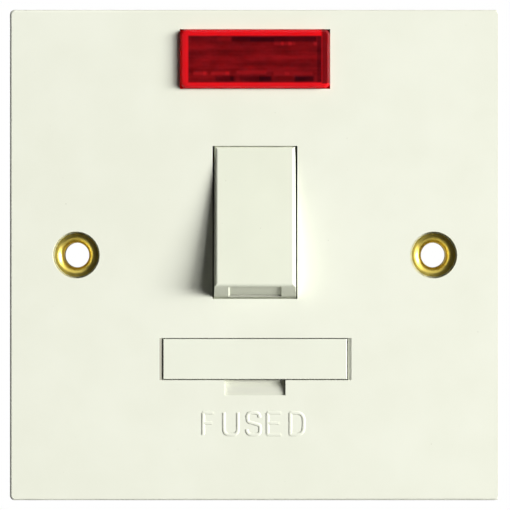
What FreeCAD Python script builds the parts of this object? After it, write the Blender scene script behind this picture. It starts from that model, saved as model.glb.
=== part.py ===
import FreeCAD, Part
import math
import os
import re

import Sketcher

# Switched and fused spur unit with an indicator lens.
# The frame: the wall is the plane Y = 0, the front faces -Y, +Z is up and +X is right
# as seen from the front. The origin is midway between the two fixing holes.
# A level is a distance in front of the wall, so a level of 9 lies at Y = -9.

# Driving dimensions in millimetres and degrees
SIZES = {
    # plate
    "plate_size": 83.0,
    "plate_rise": 9.0,
    "plate_wall": 2.2,
    "skirt_wall": 1.8,
    "plate_draft": 1.0,
    "plate_corner": 0.8,
    "plate_edge": 0.35,
    "rib_wall": 1.2,
    "rib_height": 2.4,
    "rib_up": 17.0,
    # fixing holes and their eyelets
    "fixing_centres": 60.3,
    "fixing_bore": 4.2,
    "eyelet_wall": 0.4,
    "eyelet_rim": 7.3,
    "eyelet_dish": 1.4,
    "eyelet_gap": 1.2,
    "recess_bore": 7.9,
    "recess_depth": 1.7,
    "fixing_boss": 9.2,
    # earth strap
    "strap_level": 0.4,
    "strap_thick": 0.8,
    "strap_side": 3.2,
    "strap_foot": 1.8,
    "strap_ear": 8.4,
    "strap_neck": 5.0,
    "strap_gap": 0.1,
    "strap_clear": 0.7,
    "pad_relief": 0.4,
    # rocker and its well
    "rocker_up": 5.5,
    "rocker_reach": 13.8,
    "rocker_face": 7.3,
    "rocker_tilt": 8.0,
    "rocker_gap": 0.25,
    "rocker_side_gap": 0.1,
    "rocker_lean": 0.25,
    "rocker_edge": 0.55,
    "rocker_wall": 1.2,
    "rocker_skin": 1.9,
    "rocker_skirt": 1.0,
    "rocker_hip": 2.4,
    "rocker_hip_half": 4.0,
    "rocker_shoulder": 9.0,
    "flash_width": 8.5,
    "flash_depth": 0.25,
    "flash_margin": 0.6,
    "flash_shelf": 0.3,
    "flash_slope": 0.22,
    "window_width": 14.3,
    "well_wall": 1.3,
    "well_depth": 9.5,
    "trunnion_radius": 1.5,
    "trunnion_gap": 0.05,
    "trunnion_play": 0.15,
    # switch poles
    "pole_across": 3.4,
    "plunger_radius": 1.5,
    "plunger_reach": 8.8,
    "plunger_shoulder": 1.6,
    "plunger_gap": 0.05,
    "plunger_nose": 1.275,
    "plunger_step": 0.3,
    "plunger_taper": 0.5,
    "tube_wall": 0.6,
    "tube_end": 4.5,
    "spring_wire": 0.36,
    "spring_turns": 4,
    "arm_thick": 0.7,
    "arm_width": 4.2,
    "arm_reach": 8.0,
    "arm_head": 1.5,
    "arm_tail": 4.6,
    "arm_tilt": 8.0,
    "arm_corner": 0.84,
    "ear_thick": 0.5,
    "ear_radius": 1.2,
    "ear_root": 0.3,
    "nose_gap": 0.05,
    "tip_radius": 1.1,
    "tip_height": 0.5,
    "contact_gap": 0.06,
    "pivot_gap": 0.08,
    "pivot_tab": 2.6,
    # links
    "strip_thick": 0.7,
    "strip_width": 3.2,
    "link_gap": 1.1,
    "supply_run_up": 17.5,
    "crossing_down": 10.0,
    # fuse carrier
    "carrier_down": 17.55,
    "carrier_side": 2.95,
    "slot_height": 7.1,
    "carrier_gap": 0.15,
    "carrier_thick": 4.3,
    "carrier_edge": 0.12,
    "ramp_left": 0.45,
    "ramp_right": 0.63,
    "ramp_depth": 0.25,
    "guide_height": 4.6,
    "guide_length": 10.4,
    "guide_clear": 0.4,
    "saddle_half": 4.0,
    "saddle_hook": 1.9,
    "chute_wall": 1.0,
    "chute_depth": 5.0,
    "notch_width": 10.3,
    "notch_height": 2.55,
    "notch_depth": 1.1,
    "notch_shelf": 0.5,
    "notch_lip": 0.35,
    "notch_sweep": 3.2,
    # fuse and its clips
    "fuse_length": 25.4,
    "fuse_radius": 3.175,
    "fuse_cap": 6.0,
    "fuse_cap_wall": 0.3,
    "fuse_depth": 8.0,
    "clip_thick": 0.5,
    "clip_width": 3.4,
    "clip_clear": 0.1,
    "clip_flare": 0.45,
    "clip_lip": 0.9,
    "clip_mouth": 2.4,
    # indicator
    "lens_clear": 2.5,
    "lens_width": 25.2,
    "lens_height": 9.9,
    "lens_proud": 1.0,
    "lens_gap": 0.08,
    "lens_bevel": 0.35,
    "lens_corner": 1.0,
    "lens_skin": 1.5,
    "lens_wall": 1.3,
    "lens_flange": 1.0,
    "flange_thick": 1.1,
    "lens_ridge": 0.3,
    "ridge_root": 0.1,
    "ridge_fill": 0.92,
    "lens_ridges": 9,
    "tray_wall": 1.0,
    "tray_gap": 0.3,
    "tray_side": 1.9,
    "tray_level": 1.2,
    "cradle_across": 4.0,
    "lamp_level": 3.4,
    "lamp_radius": 2.0,
    "lamp_length": 11.0,
    "lamp_seal": 0.56,
    "lamp_sweep": 2.5,
    "lead_radius": 0.35,
    "lead_bend": 1.6,
    "lead_notch": 1.5,
    "lead_clear": 1.25,
    "resistor_up": 15.5,
    "resistor_radius": 1.1,
    "resistor_length": 6.3,
    "resistor_round": 0.37,
    # back housing
    "housing_width": 50.0,
    "housing_top": 25.6,
    "housing_bottom": 31.0,
    "housing_wall": 1.6,
    "housing_floor": 2.8,
    "housing_corner": 2.0,
    "seat_size": 3.0,
    # terminals and screws
    "terminal_width": 7.0,
    "terminal_height": 7.0,
    "terminal_depth": 9.0,
    "terminal_edge": 0.4,
    "earth_across": 4.5,
    "wire_radius": 1.9,
    "wire_depth": 5.0,
    "wire_entry": 2.5,
    "screw_radius": 1.75,
    "screw_head_radius": 2.5,
    "screw_head_height": 1.7,
    "screw_lift": 0.7,
    "screw_slot": 0.8,
    "screw_slot_depth": 0.8,
    "screw_head_edge": 0.2,
    "access_clear": 0.3,
    "post_across": 13.6,
    "post_up": 21.6,
    "post_down": 25.0,
    "post_radius": 2.3,
    "post_level": 3.4,
    "housing_screw_radius": 1.25,
    "housing_screw_head": 2.3,
    "housing_screw_head_height": 1.4,
    "housing_screw_grip": 3.2,
    "cross_slot": 3.25,
    "fit_gap": 0.03,
}

# Places worked out from the driving dimensions, as formulas of their names
COS_TILT = "cos(rocker_tilt * 1 deg)"
SIN_TILT = "sin(rocker_tilt * 1 deg)"
COS_ARM = "cos(arm_tilt * 1 deg)"
SIN_ARM = "sin(arm_tilt * 1 deg)"
INNER_FACE = "(plate_rise - plate_wall)"
ROCKER_HALF = "sqrt(rocker_reach ^ 2 - rocker_face ^ 2)"
ROCKER_WIDE = "(window_width - 2 * rocker_side_gap)"
# in either position, the recess in the rocker's raised end stops above the plate
FLASH_END = ("(rocker_reach * sin(asin(rocker_face / rocker_reach) - 2 * rocker_tilt * 1 deg)"
             " + flash_shelf)")
# with the switch off, the rocker's top edge is flush with the plate
PIVOT = f"(plate_rise - rocker_face * {COS_TILT} + {ROCKER_HALF} * {SIN_TILT})"
WELL_REACH = "(rocker_reach + rocker_gap)"
ARM_PIVOT = f"({PIVOT} - plunger_reach - nose_gap - arm_thick)"
TIP_SWING = f"((arm_reach + tip_radius) * {SIN_ARM} + tip_height * {COS_ARM})"
NEAR_LINK = f"({ARM_PIVOT} - {TIP_SWING} - tip_height - contact_gap)"
FAR_LINK = f"({NEAR_LINK} - strip_thick - link_gap)"
FLOOR = f"({FAR_LINK} - strip_thick)"
BACK = f"({FLOOR} - housing_floor)"
WIRE_LEVEL = f"({FLOOR} + wire_depth)"
INSIDE_TOP = "(housing_top - housing_wall)"
INSIDE_BOTTOM = "(housing_bottom - housing_wall)"
TERMINAL_ACROSS = "(housing_width / 2 - housing_wall - terminal_width / 2)"
TERMINAL_SIDE = "(housing_width / 2 - housing_wall - terminal_width)"
TERMINAL_UP = f"({INSIDE_TOP} - terminal_height / 2)"
TERMINAL_DOWN = f"(terminal_height / 2 - {INSIDE_BOTTOM})"
FUSE_LEVEL = "(plate_rise - fuse_depth)"
CLIP_ACROSS = "(fuse_length / 2 - fuse_cap / 2)"
CLIP_INNER = "(fuse_radius + clip_clear)"
STRAP_FRONT = "(strap_level + strap_thick)"
STRAP_ACROSS = "(housing_width / 2 - housing_wall - strap_clear - strap_side / 2)"
STRAP_FOOT = f"({INSIDE_BOTTOM} - strap_gap)"
SLOT_WIDTH = "(fuse_length + 2 * carrier_side)"
LEAD_ACROSS = "(window_width / 2 + well_wall + lead_clear)"
LENS_UP = "(housing_top + lens_clear + lens_height / 2)"
TRAY_WIDTH = "(lens_width + 2 * tray_side)"
PLANES = {"front": "XZ_Plane", "side": "YZ_Plane", "top": "XY_Plane"}
SIDES = {"left": "-", "right": ""}

doc = FreeCAD.newDocument("fused_spur_unit")
sheet = doc.addObject("Spreadsheet::Sheet", "sizes")
for row, (alias, number) in enumerate(SIZES.items(), start=1):
    sheet.set(f"A{row}", alias)
    sheet.set(f"B{row}", str(number))
    sheet.setAlias(f"B{row}", alias)
doc.recompute()
pieces = []


# Formulas
def formula(text):
    """Turn the names of sizes into references to the sheet's cells."""
    return re.sub(r"[a-z][a-z_]*", reference, text)


def reference(match):
    word = match.group()
    return f"sizes.{word}" if word in SIZES else word


def value(text):
    result = sheet.evalExpression(formula(text))
    return float(getattr(result, "Value", result))


def bind(thing, setting, text):
    thing.setExpression(setting, formula(text))


# Pieces and sketches
def new_piece(name):
    body = doc.addObject("PartDesign::Body", name)
    body.Label = name
    pieces.append(body)
    return body


def new_sketch(body, name, plane, first="0", second="0", out="0"):
    """A sketch on an origin plane, moved by two distances in it and one along its normal.

    front: X and Z, and the level. side: Y and Z, and X. top: X and Y, and Z.
    """
    sketch = body.newObject("Sketcher::SketchObject", name)
    features = body.Origin.OriginFeatures
    origin_plane = next(item for item in features if item.Role == PLANES[plane])
    sketch.AttachmentSupport = [(origin_plane, "")]
    sketch.MapMode = "FlatFace"
    for letter, text in zip("xyz", (first, second, out)):
        bind(sketch, f"AttachmentOffset.Base.{letter}", text)
    return sketch


def constrain(sketch, name, text, *what):
    index = sketch.addConstraint(Sketcher.Constraint(*what, value(text)))
    sketch.renameConstraint(index, name)
    bind(sketch, f"Constraints.{name}", text)


def rectangle(sketch, width, height):
    """A rectangle about the sketch's own origin."""
    across = value(width) / 2
    up = value(height) / 2
    corners = [(-across, -up), (across, -up), (across, up), (-across, up)]
    for start, end in zip(corners, corners[1:] + corners[:1]):
        sketch.addGeometry(Part.LineSegment(FreeCAD.Vector(*start), FreeCAD.Vector(*end)), False)
    for index in range(4):
        sketch.addConstraint(Sketcher.Constraint("Coincident", index, 2, (index + 1) % 4, 1))
    for index, way in enumerate(("Horizontal", "Vertical", "Horizontal", "Vertical")):
        sketch.addConstraint(Sketcher.Constraint(way, index))
    sketch.addConstraint(Sketcher.Constraint("Symmetric", 0, 1, 1, 2, -1, 1))
    constrain(sketch, "width", width, "DistanceX", 0, 1, 0, 2)
    constrain(sketch, "height", height, "DistanceY", 1, 1, 1, 2)


def circle(sketch, radius):
    ring = Part.Circle(FreeCAD.Vector(), FreeCAD.Vector(0, 0, 1), value(radius))
    sketch.addGeometry(ring, False)
    sketch.addConstraint(Sketcher.Constraint("Coincident", 0, 3, -1, 1))
    constrain(sketch, "radius", radius, "Radius", 0)


def arc_between(start, end, radius, turn):
    """The short arc from start to end, turning left (+1) or right (-1) on the way."""
    chord = end - start
    rise = (radius ** 2 - (chord.Length / 2) ** 2) ** 0.5
    normal = FreeCAD.Vector(-chord.y, chord.x, 0).normalize()
    centre = (start + end) * 0.5 + normal * rise * turn
    middle = centre - normal * radius * turn
    return Part.Arc(start, middle, end) if turn > 0 else Part.Arc(end, middle, start)


def outline(sketch, corners):
    """A closed outline. A corner is (x, y), or (x, y, radius, turn) where an arc leaves it."""
    points = [FreeCAD.Vector(value(corner[0]), value(corner[1])) for corner in corners]
    ends = []
    for index, corner in enumerate(corners):
        start = points[index]
        end = points[(index + 1) % len(points)]
        if len(corner) == 2:
            sketch.addGeometry(Part.LineSegment(start, end), False)
            ends.append((1, 2))
        else:
            arc = arc_between(start, end, value(corner[2]), corner[3])
            sketch.addGeometry(arc, False)
            ends.append((1, 2) if corner[3] > 0 else (2, 1))
    for index in range(len(corners)):
        after = (index + 1) % len(corners)
        join = Sketcher.Constraint("Coincident", index, ends[index][1], after, ends[after][0])
        sketch.addConstraint(join)
    for index, corner in enumerate(corners):
        constrain(sketch, f"first{index}", corner[0], "DistanceX", -1, 1, index, ends[index][0])
        constrain(sketch, f"second{index}", corner[1], "DistanceY", -1, 1, index, ends[index][0])
        if len(corner) > 2:
            constrain(sketch, f"radius{index}", corner[2], "Radius", index)


# Features
def extrude(body, kind, name, sketch, length, reverse=False, both=False, taper=None):
    feature = body.newObject(f"PartDesign::{kind}", name)
    feature.Profile = sketch
    bind(feature, "Length", length)
    feature.Reversed = reverse
    if both:
        feature.SideType = "Symmetric"
    if taper:
        bind(feature, "TaperAngle", taper)
    body.Tip = feature
    return feature


def block(body, name, across, up, width, height, back, front, kind="Pad"):
    """A rectangular boss or, as a Pocket, a window between two levels."""
    start = back if kind == "Pad" else front
    sketch = new_sketch(body, f"{name}_sketch", "front", across, up, start)
    rectangle(sketch, width, height)
    return extrude(body, kind, name, sketch, f"({front}) - ({back})")


def window(body, name, across, up, width, height, back, front):
    return block(body, name, across, up, width, height, back, front, "Pocket")


def post(body, name, across, up, radius, back, front, kind="Pad"):
    """A round boss or, as a Pocket, a hole between two levels."""
    start = back if kind == "Pad" else front
    sketch = new_sketch(body, f"{name}_sketch", "front", across, up, start)
    circle(sketch, radius)
    return extrude(body, kind, name, sketch, f"({front}) - ({back})")


def hole(body, name, across, up, radius, back, front):
    return post(body, name, across, up, radius, back, front, "Pocket")


def revolve(body, kind, name, sketch, axis="V_Axis"):
    feature = body.newObject(f"PartDesign::{kind}", name)
    feature.Profile = sketch
    feature.ReferenceAxis = (sketch, [axis])
    feature.Angle = 360
    body.Tip = feature
    return feature


def edges_of(shape, test):
    return [f"Edge{index}" for index, edge in enumerate(shape.Edges, start=1) if test(edge)]


def soften(body, kind, name, size, test):
    """Round or bevel the edges of the piece so far that pass the test."""
    doc.recompute()
    base = body.Tip
    feature = body.newObject(f"PartDesign::{kind}", name)
    feature.Base = (base, edges_of(base.Shape, test))
    bind(feature, "Radius" if kind == "Fillet" else "Size", size)
    body.Tip = feature
    return feature


def along(edge, axis):
    """Whether the edge is straight and runs mainly along an axis, given as x, y or z."""
    way = edge.Vertexes[-1].Point - edge.Vertexes[0].Point
    return way.Length > 0.1 and abs(getattr(way.normalize(), axis)) > 0.95


def at_level(edge, text):
    return all(abs(-corner.Point.y - value(text)) < 0.001 for corner in edge.Vertexes)


# Placements of the pieces that swing
def ride_rocker(body, across="0"):
    """The rocker's pieces are drawn about its pivot and tilted to the off position."""
    body.Placement = FreeCAD.Placement(FreeCAD.Vector(), FreeCAD.Vector(-1, 0, 0), 1)
    bind(body, "Placement.Base.x", across)
    bind(body, "Placement.Base.y", f"-{PIVOT}")
    bind(body, "Placement.Base.z", "rocker_up")
    bind(body, "Placement.Rotation.Angle", "rocker_tilt")


def ride_arm(body, sign):
    """An arm's pieces are drawn about its pivot and tilted to the open position."""
    body.Placement = FreeCAD.Placement(FreeCAD.Vector(), FreeCAD.Vector(1, 0, 0), 1)
    bind(body, "Placement.Base.x", f"{sign}pole_across")
    bind(body, "Placement.Base.y", f"-{ARM_PIVOT}")
    bind(body, "Placement.Base.z", "rocker_up")
    bind(body, "Placement.Rotation.Angle", "arm_tilt")


# Faceplate: one moulding with its skirt, well, fuse chute, lamp tray and bosses
def make_faceplate():
    body = new_piece("faceplate")
    slab = new_sketch(body, "plate_outline", "front")
    rectangle(slab, "plate_size", "plate_size")
    extrude(body, "Pad", "slab", slab, "plate_rise", taper="-plate_draft")
    soften(body, "Fillet", "corners", "plate_corner", lambda edge: along(edge, "y"))
    soften(body, "Fillet", "front_edge", "plate_edge", lambda edge: at_level(edge, "plate_rise"))
    hollow = "plate_size - 2 * skirt_wall"
    window(body, "hollow", "0", "0", hollow, hollow, "0", INNER_FACE)
    make_ribs(body)
    make_well(body)
    make_chute(body)
    make_tray(body)
    make_fixing_bosses(body)
    make_plate_posts(body)
    return body


def make_ribs(body):
    level = f"({INNER_FACE} - rib_height)"
    length = "(plate_size / 2 - housing_width / 2 - skirt_wall / 2)"
    middle = f"(housing_width / 2 + {length} / 2)"
    for side, sign in SIDES.items():
        for end, turn in (("upper", ""), ("lower", "-")):
            block(body, f"{end}_{side}_rib", f"{sign}{middle}", f"{turn}rib_up", length,
                  "rib_wall", level, INNER_FACE)
        drop = "(plate_size / 2 - housing_bottom - skirt_wall / 2)"
        block(body, f"foot_{side}_rib", f"{sign}post_across", f"-(housing_bottom + {drop} / 2)",
              "rib_wall", drop, level, INNER_FACE)


def make_well(body):
    """The walls about the rocker, cut out by a drum about its pivot."""
    back = "(plate_rise - well_depth)"
    tall = f"2 * ({WELL_REACH} + well_wall)"
    block(body, "well", "0", "rocker_up", "window_width + 2 * well_wall", tall, back, INNER_FACE)
    drum = new_sketch(body, "drum_sketch", "side", f"-{PIVOT}", "rocker_up")
    circle(drum, WELL_REACH)
    extrude(body, "Pocket", "drum", drum, "window_width", both=True)
    bore = new_sketch(body, "trunnion_bore_sketch", "side", f"-{PIVOT}", "rocker_up")
    circle(bore, "trunnion_radius + trunnion_gap")
    reach = "window_width + 4 * well_wall"
    extrude(body, "Pocket", "trunnion_bores", bore, reach, both=True)


def make_chute(body):
    """The fuse carrier's collar, its two guide channels, the slot and the notch below."""
    collar_back = "(plate_rise - chute_depth)"
    channel_back = "(plate_rise - carrier_thick - guide_length - guide_clear)"
    outer_width = f"{SLOT_WIDTH} + 2 * chute_wall"
    outer_height = "slot_height + 2 * chute_wall"
    block(body, "collar", "0", "-carrier_down", outer_width, outer_height, collar_back,
          INNER_FACE)
    channel = "(carrier_side + chute_wall - guide_clear / 2)"
    middle = f"({SLOT_WIDTH} / 2 + chute_wall - {channel} / 2)"
    for side, sign in SIDES.items():
        block(body, f"{side}_channel", f"{sign}{middle}", "-carrier_down", channel,
              outer_height, channel_back, INNER_FACE)
    window(body, "slot", "0", "-carrier_down", SLOT_WIDTH, "slot_height", channel_back,
           "plate_rise")
    ramps = new_sketch(body, "ramps_sketch", "top", "0", "-plate_rise", "-carrier_down")
    outline(ramps, [
        (f"-({SLOT_WIDTH} / 2 + ramp_left)", "0"),
        (f"-{SLOT_WIDTH} / 2", "ramp_depth"),
        (f"{SLOT_WIDTH} / 2", "ramp_depth"),
        (f"{SLOT_WIDTH} / 2 + ramp_right", "0"),
        (f"{SLOT_WIDTH} / 2 + ramp_right", "-1"),
        (f"-({SLOT_WIDTH} / 2 + ramp_left)", "-1"),
    ])
    extrude(body, "Pocket", "ramps", ramps, "slot_height", both=True)
    top = "(-carrier_down - slot_height / 2)"
    notch = new_sketch(body, "notch_sketch", "side", "-plate_rise", top)
    outline(notch, [
        ("-1", "1"),
        ("notch_depth", "1"),
        ("notch_depth", "-notch_shelf", "notch_sweep", 1),
        ("notch_lip", "-notch_height"),
        ("-1", "-notch_height"),
    ])
    extrude(body, "Pocket", "notch", notch, "notch_width", both=True)


def make_tray(body):
    """The lens window, and the walls and cradles that hold the lamp behind it."""
    flange_half = "(lens_height / 2 + lens_flange + tray_gap)"
    for end, sign in (("upper", ""), ("lower", "-")):
        wall_up = f"({LENS_UP} + {sign}({flange_half} + tray_wall / 2))"
        block(body, f"{end}_tray_wall", "0", wall_up, TRAY_WIDTH, "tray_wall", "tray_level",
              INNER_FACE)
    cradle_front = f"({INNER_FACE} - flange_thick - tray_gap)"
    for side, sign in SIDES.items():
        block(body, f"{side}_cradle", f"{sign}cradle_across", LENS_UP, "tray_wall",
              f"2 * {flange_half}", "tray_level", cradle_front)
    groove = "2 * (lamp_radius + fit_gap)"
    window(body, "cradle_mouths", "0", LENS_UP, "2 * cradle_across + 2 * tray_wall", groove,
           "tray_level", "lamp_level")
    round_end = new_sketch(body, "cradle_sketch", "side", "-lamp_level", LENS_UP)
    circle(round_end, "lamp_radius + fit_gap")
    extrude(body, "Pocket", "cradle_rounds", round_end, "2 * cradle_across + 2 * tray_wall",
            both=True)
    for side, sign in SIDES.items():
        window(body, f"{side}_lead_notch", f"{sign}{LEAD_ACROSS}",
               f"{LENS_UP} - {flange_half} - tray_wall / 2", "lead_notch", "2 * tray_wall",
               "tray_level", "lamp_level + 2 * lead_radius")
    window(body, "lens_window", "0", LENS_UP, "lens_width + 2 * lens_gap",
           "lens_height + 2 * lens_gap", INNER_FACE, "plate_rise")


def make_fixing_bosses(body):
    for side, sign in SIDES.items():
        across = f"{sign}fixing_centres / 2"
        post(body, f"{side}_fixing_boss", across, "0", "fixing_boss / 2", STRAP_FRONT,
             INNER_FACE)
        seat = new_sketch(body, f"{side}_seat_sketch", "top", across, "0")
        roll = "fixing_bore / 2 + eyelet_dish"
        tube = "fixing_bore / 2 + eyelet_wall + fit_gap"
        seat_level = "plate_rise - recess_depth - eyelet_wall"
        outline(seat, [
            ("0", "-plate_rise - 1"),
            ("recess_bore / 2", "-plate_rise - 1"),
            ("recess_bore / 2", f"-({seat_level})"),
            (roll, f"-({seat_level})"),
            (roll, f"-({seat_level} - fit_gap)", "eyelet_dish - eyelet_wall - fit_gap", -1),
            (tube, f"-({seat_level} + eyelet_wall - eyelet_dish)"),
            (tube, "0"),
            ("0", "0"),
        ])
        revolve(body, "Groove", f"{side}_fixing_seat", seat)


def make_plate_posts(body):
    for side, sign in SIDES.items():
        for end, up in (("upper", "post_up"), ("lower", "-post_down")):
            post(body, f"{end}_{side}_post", f"{sign}post_across", up, "post_radius",
                 "post_level", INNER_FACE)
            hole(body, f"{end}_{side}_pilot", f"{sign}post_across", up,
                 "housing_screw_radius + fit_gap", "post_level",
                 "post_level + housing_screw_grip + fit_gap")


# Eyelets: brass tubes through the plate and the earth strap, their mouths rolled outwards
def make_eyelet(side, sign):
    body = new_piece(f"eyelet_{side}")
    section = new_sketch(body, "section", "top", f"{sign}fixing_centres / 2", "0")
    bore = "fixing_bore / 2"
    rim = "eyelet_rim / 2"
    top = "plate_rise - recess_depth"
    foot = "strap_level - eyelet_wall"
    outline(section, [
        (bore, f"-({foot})"),
        (bore, f"-({top} - eyelet_dish)", "eyelet_dish", 1),
        (f"{bore} + eyelet_dish", f"-({top})"),
        (rim, f"-({top})"),
        (rim, f"-({top} - eyelet_wall)"),
        (f"{bore} + eyelet_dish", f"-({top} - eyelet_wall)", "eyelet_dish - eyelet_wall", -1),
        (f"{bore} + eyelet_wall", f"-({top} - eyelet_dish)"),
        (f"{bore} + eyelet_wall", "-strap_level"),
        (f"{bore} + 3 * eyelet_wall", "-strap_level"),
        (f"{bore} + 3 * eyelet_wall", f"-({foot})"),
    ])
    revolve(body, "Revolution", "turned", section)


# Earth strap: a flat stamping from the two eyelets round to the earth terminals
def make_earth_strap():
    body = new_piece("earth_strap")
    bottom = f"-({STRAP_FOOT} - strap_foot / 2)"
    span = f"2 * {STRAP_ACROSS} + strap_side"
    block(body, "foot", "0", bottom, span, "strap_foot", "strap_level", STRAP_FRONT)
    pad_width = "2 * earth_across + terminal_width"
    block(body, "terminal_pad", "0", TERMINAL_DOWN, pad_width, "terminal_height - pad_relief",
          "strap_level", STRAP_FRONT)
    for side, sign in SIDES.items():
        height = f"({STRAP_FOOT} + strap_neck / 2)"
        block(body, f"{side}_riser", f"{sign}{STRAP_ACROSS}", f"strap_neck / 2 - {height} / 2",
              "strap_side", height, "strap_level", STRAP_FRONT)
        neck = f"(fixing_centres / 2 - {STRAP_ACROSS})"
        block(body, f"{side}_neck", f"{sign}({STRAP_ACROSS} + {neck} / 2)", "0", neck,
              "strap_neck", "strap_level", STRAP_FRONT)
        post(body, f"{side}_ear", f"{sign}fixing_centres / 2", "0", "strap_ear / 2",
             "strap_level", STRAP_FRONT)
        hole(body, f"{side}_ear_hole", f"{sign}fixing_centres / 2", "0",
             "fixing_bore / 2 + eyelet_wall + fit_gap", "strap_level", STRAP_FRONT)


# Indicator: ribbed lens, lamp, resistor and leads
def make_lens():
    body = new_piece("neon_lens")
    back = f"({INNER_FACE} - flange_thick)"
    front = "(plate_rise + lens_proud)"
    block(body, "body", "0", LENS_UP, "lens_width", "lens_height", back, front)
    soften(body, "Fillet", "corners", "lens_corner", lambda edge: along(edge, "y"))
    soften(body, "Chamfer", "bevel", "lens_bevel",
           lambda edge: at_level(edge, "plate_rise + lens_proud"))
    block(body, "flange", "0", LENS_UP, "lens_width + 2 * lens_flange",
          "lens_height + 2 * lens_flange", back, INNER_FACE)
    inner = "(lens_width - 2 * lens_wall)"
    tall = "(lens_height - 2 * lens_wall)"
    ceiling = f"({front} - lens_skin)"
    window(body, "inside", "0", LENS_UP, inner, tall, back, ceiling)
    pitch = f"({tall} / lens_ridges)"
    ridge = new_sketch(body, "ridge_sketch", "side", f"-{ceiling}",
                       f"{LENS_UP} - {tall} / 2 + {pitch} / 2")
    outline(ridge, [
        ("-ridge_root", f"-ridge_fill * {pitch} / 2"),
        ("lens_ridge", "0"),
        ("-ridge_root", f"ridge_fill * {pitch} / 2"),
    ])
    extrude(body, "Pad", "ridge", ridge, inner, both=True)
    pattern = body.newObject("PartDesign::LinearPattern", "ridges")
    pattern.Originals = [body.Tip]
    pattern.Direction = (ridge, ["V_Axis"])
    bind(pattern, "Length", f"{pitch} * (lens_ridges - 1)")
    bind(pattern, "Occurrences", "lens_ridges")
    body.Tip = pattern


def make_lamp():
    body = new_piece("neon_lamp")
    section = new_sketch(body, "section", "top", "0", "-lamp_level", LENS_UP)
    half = "lamp_length / 2"
    shoulder = "(lamp_length / 2 - lamp_radius / 2)"
    outline(section, [
        (f"-{half}", "0"),
        (half, "0"),
        (half, "lamp_seal", "lamp_sweep", 1),
        (shoulder, "lamp_radius"),
        (f"-{shoulder}", "lamp_radius", "lamp_sweep", 1),
        (f"-{half}", "lamp_seal"),
    ])
    revolve(body, "Revolution", "bulb", section, "H_Axis")


def wire_solid(points, radius, bend):
    """A round wire through the points, with an arc at each corner."""
    edges = []
    start = points[0]
    for before, corner, after in zip(points, points[1:], points[2:]):
        into = (corner - before).normalize()
        out = (after - corner).normalize()
        first = corner - into * bend
        last = corner + out * bend
        middle = corner + (out - into).normalize() * bend * (2 ** 0.5 - 1)
        edges.append(Part.makeLine(start, first))
        edges.append(Part.Arc(first, middle, last).toShape())
        start = last
    edges.append(Part.makeLine(start, points[-1]))
    way = (points[1] - points[0]).normalize()
    ring = Part.Wire(Part.makeCircle(radius, points[0], way))
    return Part.Wire(edges).makePipeShell([ring], True, True)


def add_feature(name, shape):
    feature = doc.addObject("Part::Feature", name)
    feature.Label = name
    feature.Shape = shape
    pieces.append(feature)
    return feature


def lead_point(sign, across, level, up):
    return FreeCAD.Vector(sign * value(across), -value(level), value(up))


def make_leads():
    """Stiff wires from the lamp's ends, down beside the rocker, to the outlet links."""
    for side, sign in (("live", -1), ("neutral", 1)):
        start = lead_point(sign, "lamp_length / 2", "lamp_level", LENS_UP)
        corner = lead_point(sign, LEAD_ACROSS, "lamp_level", LENS_UP)
        route = [start, corner]
        if side == "live":
            route.append(lead_point(sign, LEAD_ACROSS, "lamp_level", "rocker_up"))
            route.append(lead_point(sign, LEAD_ACROSS, NEAR_LINK, "rocker_up"))
        else:
            top = "resistor_up + resistor_length / 2"
            route.append(lead_point(sign, LEAD_ACROSS, "lamp_level", top))
        shape = wire_solid(route, value("lead_radius"), value("lead_bend"))
        add_feature(f"neon_lead_{side}", shape)


def make_resistor():
    """A small resistor hanging in line, with its own wire down to the neutral link."""
    base = lead_point(1, LEAD_ACROSS, "lamp_level", "resistor_up - resistor_length / 2")
    tall = value("resistor_length")
    body = Part.makeCylinder(value("resistor_radius"), tall, base)
    rims = [edge for edge in body.Edges if len(edge.Vertexes) == 1]
    body = body.makeFillet(value("resistor_round"), rims)
    route = [
        base + FreeCAD.Vector(0, 0, tall / 2),
        lead_point(1, LEAD_ACROSS, "lamp_level", "rocker_up"),
        lead_point(1, LEAD_ACROSS, FAR_LINK, "rocker_up"),
    ]
    wire = wire_solid(route, value("lead_radius"), value("lead_bend"))
    add_feature("neon_resistor", body.fuse(wire).removeSplitter())


# Back housing: the rear moulding with its posts, seats, stops and openings
def make_back_housing():
    body = new_piece("back_housing")
    tall = "(housing_top + housing_bottom)"
    centre = "(housing_top - housing_bottom) / 2"
    block(body, "shell", "0", centre, "housing_width", tall, BACK, INNER_FACE)
    soften(body, "Fillet", "corners", "housing_corner", lambda edge: along(edge, "y"))
    soften(body, "Fillet", "back_edge", "housing_wall / 2", lambda edge: at_level(edge, BACK))
    window(body, "inside", "0", centre, "housing_width - 2 * housing_wall",
           f"{tall} - 2 * housing_wall", FLOOR, INNER_FACE)
    make_housing_posts(body)
    make_seats(body)
    make_housing_openings(body)


def make_housing_posts(body):
    for side, sign in SIDES.items():
        for end, up in (("upper", "post_up"), ("lower", "-post_down")):
            across = f"{sign}post_across"
            post(body, f"{end}_{side}_post", across, up, "post_radius", FLOOR, "post_level")
            hole(body, f"{end}_{side}_bore", across, up, "housing_screw_radius + 2 * fit_gap",
                 BACK, "post_level")
            hole(body, f"{end}_{side}_counterbore", across, up,
                 "housing_screw_head + access_clear", BACK, f"{BACK} + housing_screw_head_height")


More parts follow.
